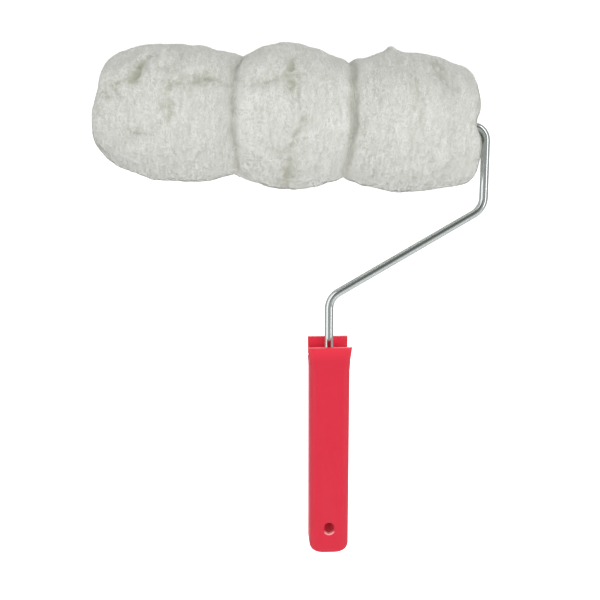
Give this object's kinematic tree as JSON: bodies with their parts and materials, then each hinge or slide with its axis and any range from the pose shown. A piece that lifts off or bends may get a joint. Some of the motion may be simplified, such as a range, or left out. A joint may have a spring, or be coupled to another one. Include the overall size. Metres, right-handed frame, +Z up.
{
  "type": "paint roller",
  "caption": "Hand paint roller: fluffy long-pile sheepskin cover spinning on a bent zinc-plated rod frame with a red moulded plastic handle.",
  "frame": {"origin": "middle of the grip, on the handle's own axis, where the hand holds it", "axes": "+Z up along the handle towards the cover, +X towards the side where the rod comes round to the axle, +Y out of the back of the handle"},
  "size_m": [0.2738, 0.1, 0.3686],
  "materials": {
    "red_plastic": "satin moulded",
    "zinc_rod": "bright zinc plating",
    "spring_steel": "plain",
    "white_plastic": "matte",
    "nylon": "satin",
    "grey_tube": "matte",
    "hide": "suede",
    "wool": "long soft pile",
    "thread": "twisted thread"
  },
  "bodies": {
    "frame": {"frame_rod": "zinc_rod", "handle": "red_plastic", "stop_collar": "zinc_rod", "retaining_nut": "spring_steel"},
    "cover": {"core_tube": "grey_tube", "end_cap_left": "white_plastic", "end_cap_right": "white_plastic", "bush_left": "nylon", "bush_right": "nylon", "hide_left": "hide", "hide_middle": "hide", "hide_right": "hide", "pile_left": "wool", "pile_middle": "wool", "pile_right": "wool", "butt_seam_left": "thread", "butt_seam_middle": "thread", "butt_seam_right": "thread", "waist_seam_left": "thread", "waist_seam_right": "thread"},
    "left_washer": {"washer_left": "spring_steel"},
    "right_washer": {"washer_right": "spring_steel"}
  },
  "joints": [
    {"name": "roller_spin", "type": "hinge", "parent": "frame", "child": "cover", "pos_m": [0, 0, 0.2375], "axis": [0.999, 0, -0.0454], "continuous": true},
    {"name": "left_washer_spin", "type": "hinge", "parent": "frame", "child": "left_washer", "pos_m": [0, 0, 0.2375], "axis": [0.999, 0, -0.0454], "continuous": true},
    {"name": "right_washer_spin", "type": "hinge", "parent": "frame", "child": "right_washer", "pos_m": [0, 0, 0.2375], "axis": [0.999, 0, -0.0454], "continuous": true}
  ]
}
